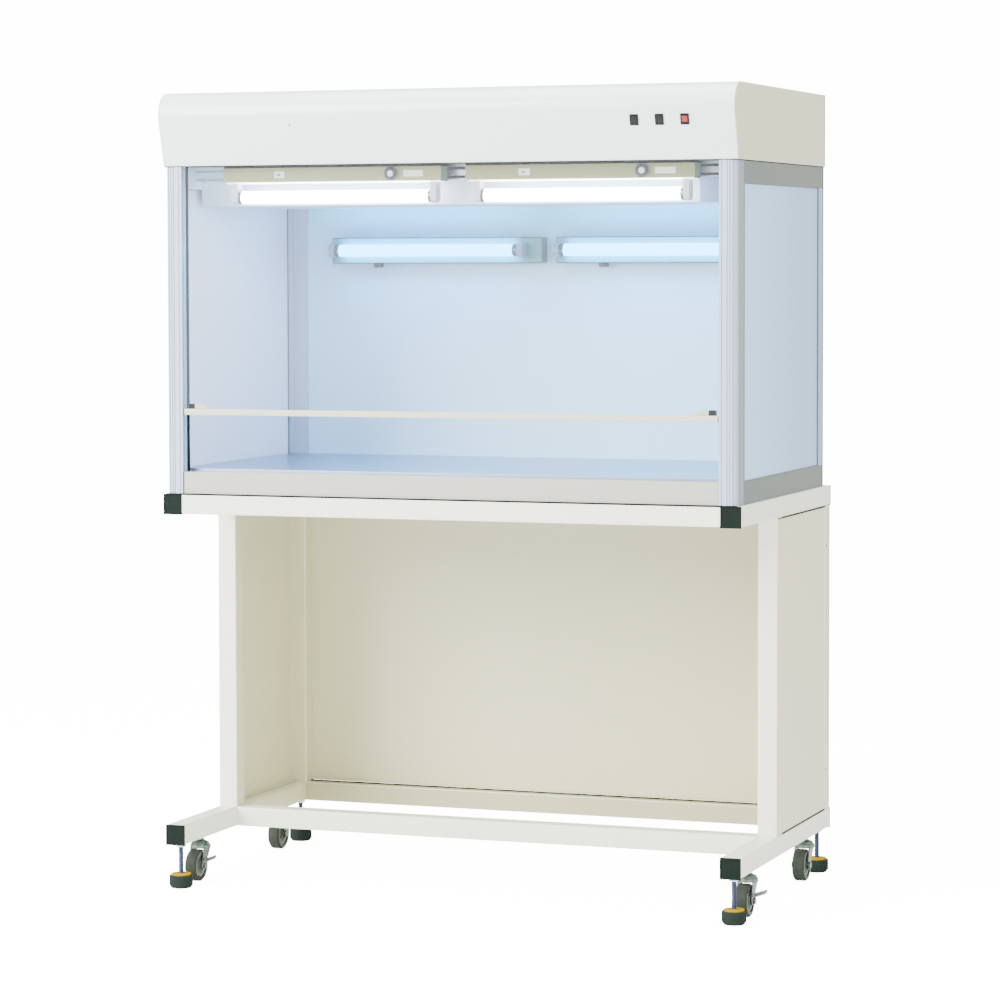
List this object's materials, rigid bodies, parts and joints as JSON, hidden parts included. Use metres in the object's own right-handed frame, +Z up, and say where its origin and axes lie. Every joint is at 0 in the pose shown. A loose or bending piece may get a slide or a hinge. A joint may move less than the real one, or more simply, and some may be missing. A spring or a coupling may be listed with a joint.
{
  "type": "laminar flow hood",
  "caption": "Vertical-flow clean bench: fan and filter head over a glazed work chamber with a sliding sash, on a tubular stand with casters and levelling feet.",
  "frame": {"origin": "on the floor under the middle of the overall box; the cabinet's own centre line is 11.1 mm to the left, because the right front brake pedal stands out past the feet", "axes": "+X to the operator's right, +Y from the open front to the rear, +Z up"},
  "size_m": [1.2306, 0.7006, 1.601],
  "materials": {
    "stand_paint": "smooth ivory enamel",
    "panel_paint": "smooth ivory enamel",
    "cap_plastic": "moulded, satin",
    "zinc_plate": "bright zinc plate",
    "stud_steel": "blue zinc plate",
    "wheel_rubber": "grey-black tyre rubber",
    "foot_rubber": "moulded rubber",
    "post_paint": "satin white powder coat on extrusion",
    "rail_paint": "satin white enamel",
    "rail_aluminium": "satin anodised",
    "pane_glass": "clear float glass",
    "gasket_rubber": "extruded seal",
    "wall_steel": "satin white enamel",
    "stainless": "fine brushed stainless",
    "head_enamel": "semi-gloss white enamel",
    "galvanised": "galvanised sheet",
    "filter_mat": "matted polyester",
    "filter_white": "white coated frame",
    "infill_grey": "satin laminate",
    "motor_grey": "satin grey",
    "blade_aluminium": "pressed sheet",
    "switch_black": "moulded, glossy",
    "switch_red": "translucent red, lit",
    "fixture_cream": "cream enamel",
    "holder_white": "moulded, glossy",
    "lamp_white": "white phosphor tube, lit",
    "lamp_clear": "clear quartz tube, lit pale blue",
    "starter_violet": "translucent moulded can",
    "uv_white": "white enamel",
    "sash_cream": "cream enamel on extrusion",
    "knob_dark": "moulded"
  },
  "bodies": {
    "cabinet": {"side_frame_left": "stand_paint", "side_frame_right": "stand_paint", "top_beams": "stand_paint", "crossbars": "stand_paint", "tube_end_caps": "cap_plastic", "side_panels": "panel_paint", "rear_panel": "panel_paint", "foot_lock_nuts": "stud_steel", "caster_stems": "zinc_plate", "front_posts": "post_paint", "rear_posts": "post_paint", "front_bottom_rail": "rail_paint", "side_rails": "rail_paint", "rear_rails": "rail_paint", "side_panes": "pane_glass", "pane_gaskets": "gasket_rubber", "back_wall": "wall_steel", "work_top": "stainless", "fascia": "head_enamel", "head_wrap": "head_enamel", "top_cover": "head_enamel", "head_base_plate": "galvanised", "intake_grille": "head_enamel", "prefilter_mat": "filter_mat", "switch_bezels": "switch_black", "cord_gland": "cap_plastic", "hepa_filter": "filter_white", "ceiling_infills": "infill_grey", "fan_housing": "galvanised", "fan_motor": "motor_grey", "lamp_rail": "rail_aluminium", "fixture_bodies": "fixture_cream", "lampholders": "holder_white", "room_lamps": "lamp_white", "uv_lamps": "lamp_clear", "uv_bodies": "uv_white", "glow_starters": "starter_violet"},
    "sash": {"sash_pane": "pane_glass", "sash_bar": "sash_cream", "sash_catches": "sash_cream"},
    "fan_wheel": {"fan_impeller": "blade_aluminium"},
    "fan_rocker": {"fan_switch": "switch_black"},
    "lamp_rocker": {"lamp_switch": "switch_black"},
    "uv_rocker": {"uv_switch": "switch_red"},
    "left_slider": {"slide_switch_left": "knob_dark"},
    "right_slider": {"slide_switch_right": "knob_dark"},
    "fork_front_left": {"caster_fork_front_left": "zinc_plate"},
    "wheel_front_left": {"caster_wheel_front_left": "wheel_rubber"},
    "leveller_front_left": {"foot_front_left": "foot_rubber"},
    "fork_front_right": {"caster_fork_front_right": "zinc_plate"},
    "wheel_front_right": {"caster_wheel_front_right": "wheel_rubber"},
    "leveller_front_right": {"foot_front_right": "foot_rubber"},
    "fork_rear_left": {"caster_fork_rear_left": "zinc_plate"},
    "wheel_rear_left": {"caster_wheel_rear_left": "wheel_rubber"},
    "leveller_rear_left": {"foot_rear_left": "foot_rubber"},
    "fork_rear_right": {"caster_fork_rear_right": "zinc_plate"},
    "wheel_rear_right": {"caster_wheel_rear_right": "wheel_rubber"},
    "leveller_rear_right": {"foot_rear_right": "foot_rubber"},
    "lever_front_left": {"brake_lever_front_left": "zinc_plate"},
    "lever_front_right": {"brake_lever_front_right": "zinc_plate"}
  },
  "joints": [
    {"name": "sash_lift", "type": "slide", "parent": "cabinet", "child": "sash", "axis": [0, 0, 1], "range_m": [-0.114, 0.011]},
    {"name": "fan_spin", "type": "hinge", "parent": "cabinet", "child": "fan_wheel", "pos_m": [0.01889, 0.04881, 1.5], "axis": [0, 0, 1], "continuous": true},
    {"name": "fan_rocker_tilt", "type": "hinge", "parent": "cabinet", "child": "fan_rocker", "pos_m": [0.38489, -0.3448, 1.531], "axis": [-1, 0, 0], "range_deg": [0, 14]},
    {"name": "lamp_rocker_tilt", "type": "hinge", "parent": "cabinet", "child": "lamp_rocker", "pos_m": [0.43489, -0.3448, 1.531], "axis": [-1, 0, 0], "range_deg": [0, 14]},
    {"name": "uv_rocker_tilt", "type": "hinge", "parent": "cabinet", "child": "uv_rocker", "pos_m": [0.48489, -0.3448, 1.531], "axis": [-1, 0, 0], "range_deg": [0, 14]},
    {"name": "left_slider_travel", "type": "slide", "parent": "cabinet", "child": "left_slider", "axis": [1, 0, 0], "range_m": [0, 0.004]},
    {"name": "right_slider_travel", "type": "slide", "parent": "cabinet", "child": "right_slider", "axis": [1, 0, 0], "range_m": [0, 0.004]},
    {"name": "swivel_front_left", "type": "hinge", "parent": "cabinet", "child": "fork_front_left", "pos_m": [-0.59111, -0.20269, 0.075], "axis": [0, 0, 1], "continuous": true},
    {"name": "roll_front_left", "type": "hinge", "parent": "fork_front_left", "child": "wheel_front_left", "pos_m": [-0.59111, -0.22269, 0.0335], "axis": [1, 0, 0], "continuous": true},
    {"name": "level_front_left", "type": "slide", "parent": "cabinet", "child": "leveller_front_left", "axis": [0, 0, 1], "range_m": [-0.012, 0]},
    {"name": "swivel_front_right", "type": "hinge", "parent": "cabinet", "child": "fork_front_right", "pos_m": [0.56889, -0.20269, 0.075], "axis": [0, 0, 1], "continuous": true},
    {"name": "roll_front_right", "type": "hinge", "parent": "fork_front_right", "child": "wheel_front_right", "pos_m": [0.56889, -0.22269, 0.0335], "axis": [1, 0, 0], "continuous": true},
    {"name": "level_front_right", "type": "slide", "parent": "cabinet", "child": "leveller_front_right", "axis": [0, 0, 1], "range_m": [-0.012, 0]},
    {"name": "swivel_rear_left", "type": "hinge", "parent": "cabinet", "child": "fork_rear_left", "pos_m": [-0.59111, 0.22031, 0.075], "axis": [0, 0, 1], "continuous": true},
    {"name": "roll_rear_left", "type": "hinge", "parent": "fork_rear_left", "child": "wheel_rear_left", "pos_m": [-0.59111, 0.20031, 0.0335], "axis": [1, 0, 0], "continuous": true},
    {"name": "level_rear_left", "type": "slide", "parent": "cabinet", "child": "leveller_rear_left", "axis": [0, 0, 1], "range_m": [-0.012, 0]},
    {"name": "swivel_rear_right", "type": "hinge", "parent": "cabinet", "child": "fork_rear_right", "pos_m": [0.56889, 0.22031, 0.075], "axis": [0, 0, 1], "continuous": true},
    {"name": "roll_rear_right", "type": "hinge", "parent": "fork_rear_right", "child": "wheel_rear_right", "pos_m": [0.56889, 0.20031, 0.0335], "axis": [1, 0, 0], "continuous": true},
    {"name": "level_rear_right", "type": "slide", "parent": "cabinet", "child": "leveller_rear_right", "axis": [0, 0, 1], "range_m": [-0.012, 0]},
    {"name": "brake_front_left", "type": "hinge", "parent": "fork_front_left", "child": "lever_front_left", "pos_m": [-0.59111, -0.22269, 0.0335], "axis": [-1, 0, 0], "range_deg": [0, 20]},
    {"name": "brake_front_right", "type": "hinge", "parent": "fork_front_right", "child": "lever_front_right", "pos_m": [0.56889, -0.22269, 0.0335], "axis": [-1, 0, 0], "range_deg": [0, 20]}
  ]
}
